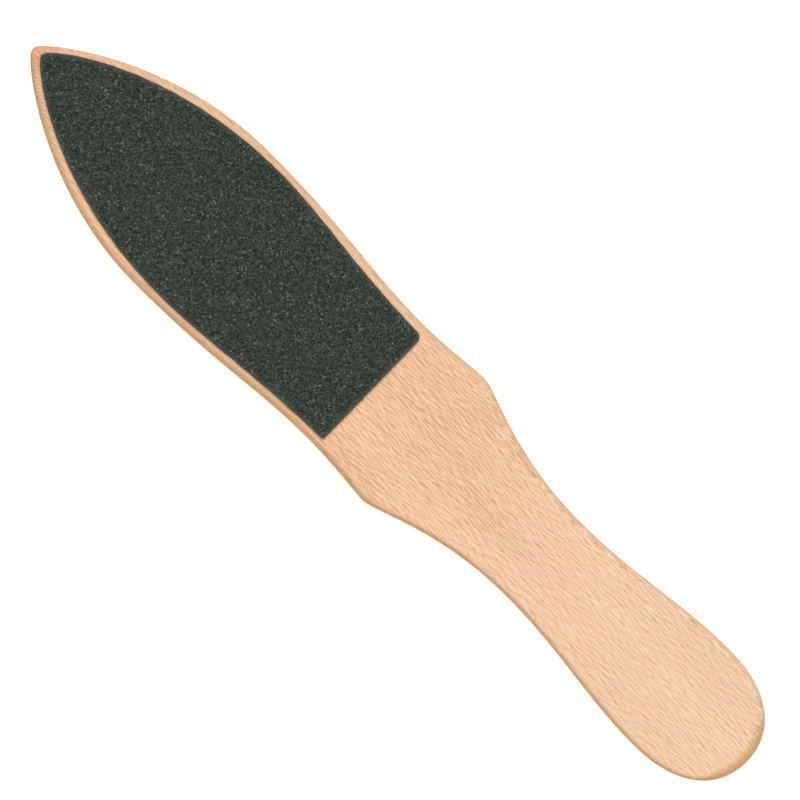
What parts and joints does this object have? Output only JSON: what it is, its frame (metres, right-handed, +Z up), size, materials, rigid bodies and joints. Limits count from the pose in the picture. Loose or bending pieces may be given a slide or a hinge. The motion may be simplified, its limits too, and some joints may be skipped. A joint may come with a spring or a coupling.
{
  "type": "wooden foot file",
  "caption": "Flat wooden foot file: a leaf-shaped blade that narrows to a waisted paddle handle, with an abrasive sheet glued to each face of the blade.",
  "frame": {"origin": "centre of the bounding box in X and Y, on the surface that the file lies on with its fine side down", "axes": "+X along the file from the handle to the blade's tip, +Y across it, +Z up out of the coarse face"},
  "size_m": [0.2522, 0.0472, 0.0057],
  "materials": {
    "beech": "sanded bare beech, fine straight grain",
    "adhesive": "thin translucent film of contact adhesive",
    "backing_paper": "matte kraft backing paper",
    "coarse_grit": "coarse matte dark grey-green abrasive grain",
    "fine_grit": "fine matte grey-green abrasive grain"
  },
  "bodies": {
    "root": {"paddle": "beech", "front_adhesive": "adhesive", "front_backing": "backing_paper", "front_grit": "coarse_grit", "rear_adhesive": "adhesive", "rear_backing": "backing_paper", "rear_grit": "fine_grit"}
  },
  "joints": []
}
